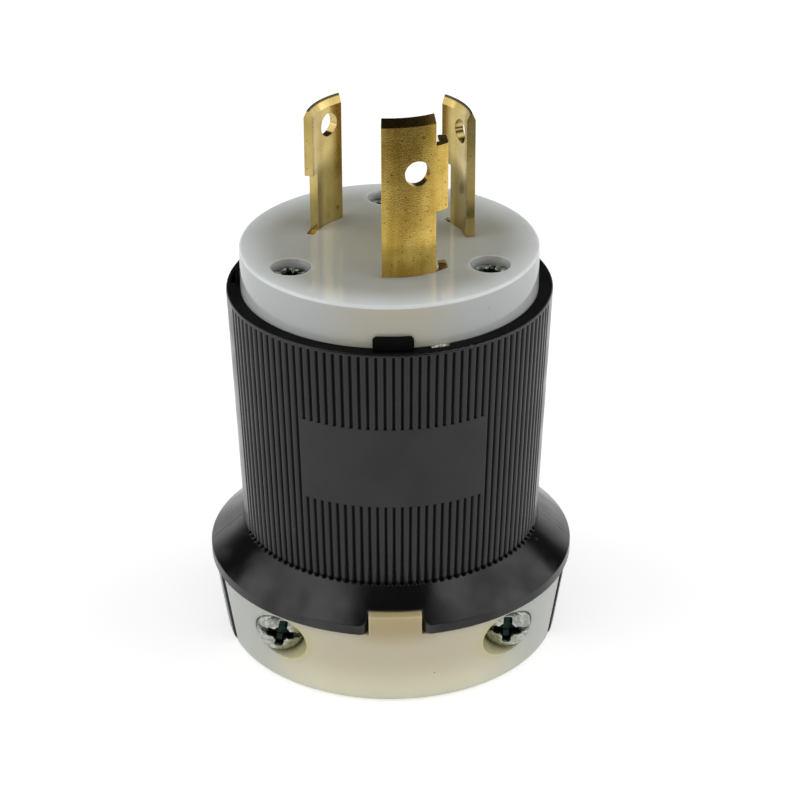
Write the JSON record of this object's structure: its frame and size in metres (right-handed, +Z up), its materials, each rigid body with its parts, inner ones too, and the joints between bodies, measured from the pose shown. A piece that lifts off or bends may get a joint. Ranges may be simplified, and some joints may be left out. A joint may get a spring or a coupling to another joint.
{
  "type": "locking power plug",
  "caption": "Locking power plug with curved hooked blades, an L-shaped ground blade, a ribbed housing with a flared skirt and a screw-driven cord clamp.",
  "frame": {"origin": "centre of the flat bottom of the cord clamp, on the plug's axis", "axes": "+Z up the plug's axis to the blade tips; -Y the front, where the label panel and the heads of the clamp screws are; +X to the right seen from the front"},
  "size_m": [0.059, 0.0586, 0.0935],
  "materials": {
    "shell": "satin black nylon",
    "blade_holder": "white nylon, slightly translucent",
    "terminal_base": "dark moulded body",
    "cord_clamp": "natural white nylon",
    "blade_brass": "stamped, satin",
    "plate_steel": "zinc plated",
    "green_screw": "green plated",
    "brass_screw": "turned",
    "screw_steel": "zinc plated"
  },
  "bodies": {
    "housing": {"shell": "shell", "blade_holder": "blade_holder", "terminal_base": "terminal_base", "ground_blade": "blade_brass", "left_line_blade": "blade_brass", "right_line_blade": "blade_brass", "ground_wire_plate": "plate_steel", "left_wire_plate": "plate_steel", "right_wire_plate": "plate_steel", "ground_terminal_screw": "green_screw", "left_terminal_screw": "brass_screw", "right_terminal_screw": "brass_screw", "assembly_screw_left": "screw_steel", "assembly_screw_right": "screw_steel", "assembly_screw_back": "screw_steel", "clamp_nut_left": "screw_steel", "clamp_nut_right": "screw_steel"},
    "front_jaw": {"cord_clamp": "cord_clamp"},
    "left_screw": {"clamp_screw_left": "screw_steel"},
    "right_screw": {"clamp_screw_right": "screw_steel"}
  },
  "joints": [
    {"name": "clamp_slide", "type": "slide", "parent": "housing", "child": "front_jaw", "axis": [0, 1, 0], "range_m": [0, 0.0087]},
    {"name": "left_screw_turn", "type": "hinge", "parent": "front_jaw", "child": "left_screw", "pos_m": [-0.018, 0, 0.0093], "axis": [0, 1, 0], "range_deg": [0, 3946]},
    {"name": "right_screw_turn", "type": "hinge", "parent": "front_jaw", "child": "right_screw", "pos_m": [0.018, 0, 0.0093], "axis": [0, 1, 0], "range_deg": [0, 3946]}
  ],
  "couplings": [
    {"joint": "left_screw_turn", "follows": "clamp_slide", "rad_per_m": 7915.8},
    {"joint": "right_screw_turn", "follows": "clamp_slide", "rad_per_m": 7915.8}
  ]
}
